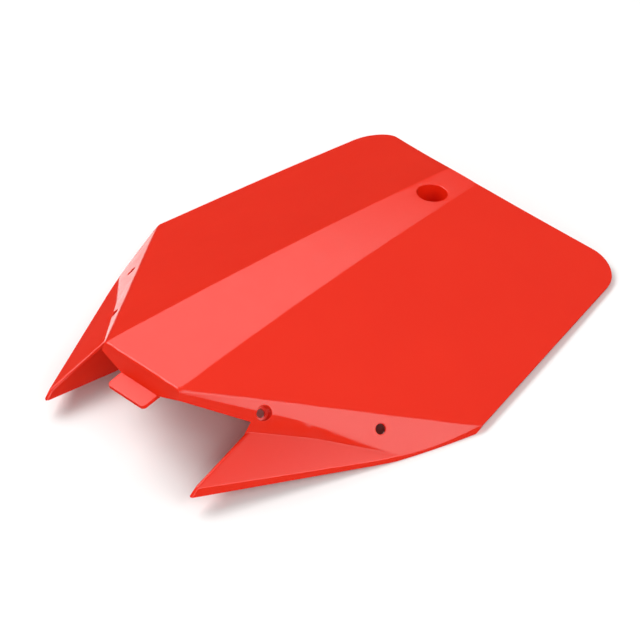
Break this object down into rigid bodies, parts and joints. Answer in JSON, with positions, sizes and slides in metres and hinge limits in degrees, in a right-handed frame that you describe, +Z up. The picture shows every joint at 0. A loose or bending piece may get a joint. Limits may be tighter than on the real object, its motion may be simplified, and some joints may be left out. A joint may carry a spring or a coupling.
{
  "type": "racing number board",
  "caption": "Folded front number board for an off-road motorbike: a thin moulded shell with a flat ridge, sloping flanks, stepped lower prongs, a hooked tab and a sunk bolt seat.",
  "frame": {"origin": "middle of the board's length and width, on the bench it lies on", "axes": "+Z up through the face, +Y towards the straight top edge, X across the board"},
  "size_m": [0.2398, 0.2928, 0.0537],
  "materials": {
    "board": "red polypropylene, moulded semi-gloss"
  },
  "bodies": {
    "root": {"number_board": "board"}
  },
  "joints": []
}
